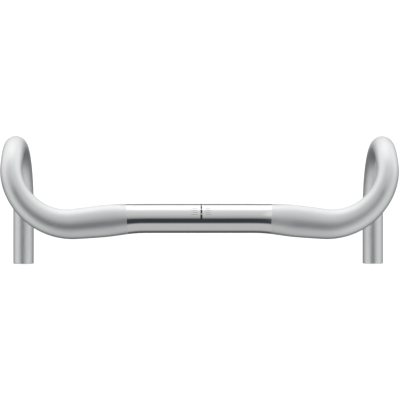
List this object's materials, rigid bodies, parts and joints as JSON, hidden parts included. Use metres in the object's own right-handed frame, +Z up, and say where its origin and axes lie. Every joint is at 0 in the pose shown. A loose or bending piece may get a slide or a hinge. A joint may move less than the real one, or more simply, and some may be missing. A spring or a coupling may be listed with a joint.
{
  "type": "drop handlebar",
  "caption": "Bare drop handlebar: swollen stem clamp, flattened swept tops, shoulder bends, shallow round hooks and short straight drops.",
  "frame": {"origin": "middle of the stem clamp section, on the tube's centreline", "axes": "+X to the rider's right along the clamp section, +Y forward towards the hooks, +Z up, with the drops level"},
  "size_m": [0.4358, 0.1469, 0.1528],
  "materials": {
    "polished_tube": "polished bare aluminium with fine lengthwise polishing lines",
    "satin_tube": "bead-blasted, clear-anodised silver"
  },
  "bodies": {
    "root": {"clamp_section": "polished_tube", "left_top": "satin_tube", "right_top": "satin_tube", "left_shoulder": "satin_tube", "right_shoulder": "satin_tube", "left_hook": "satin_tube", "right_hook": "satin_tube", "left_drop": "satin_tube", "right_drop": "satin_tube"}
  },
  "joints": []
}
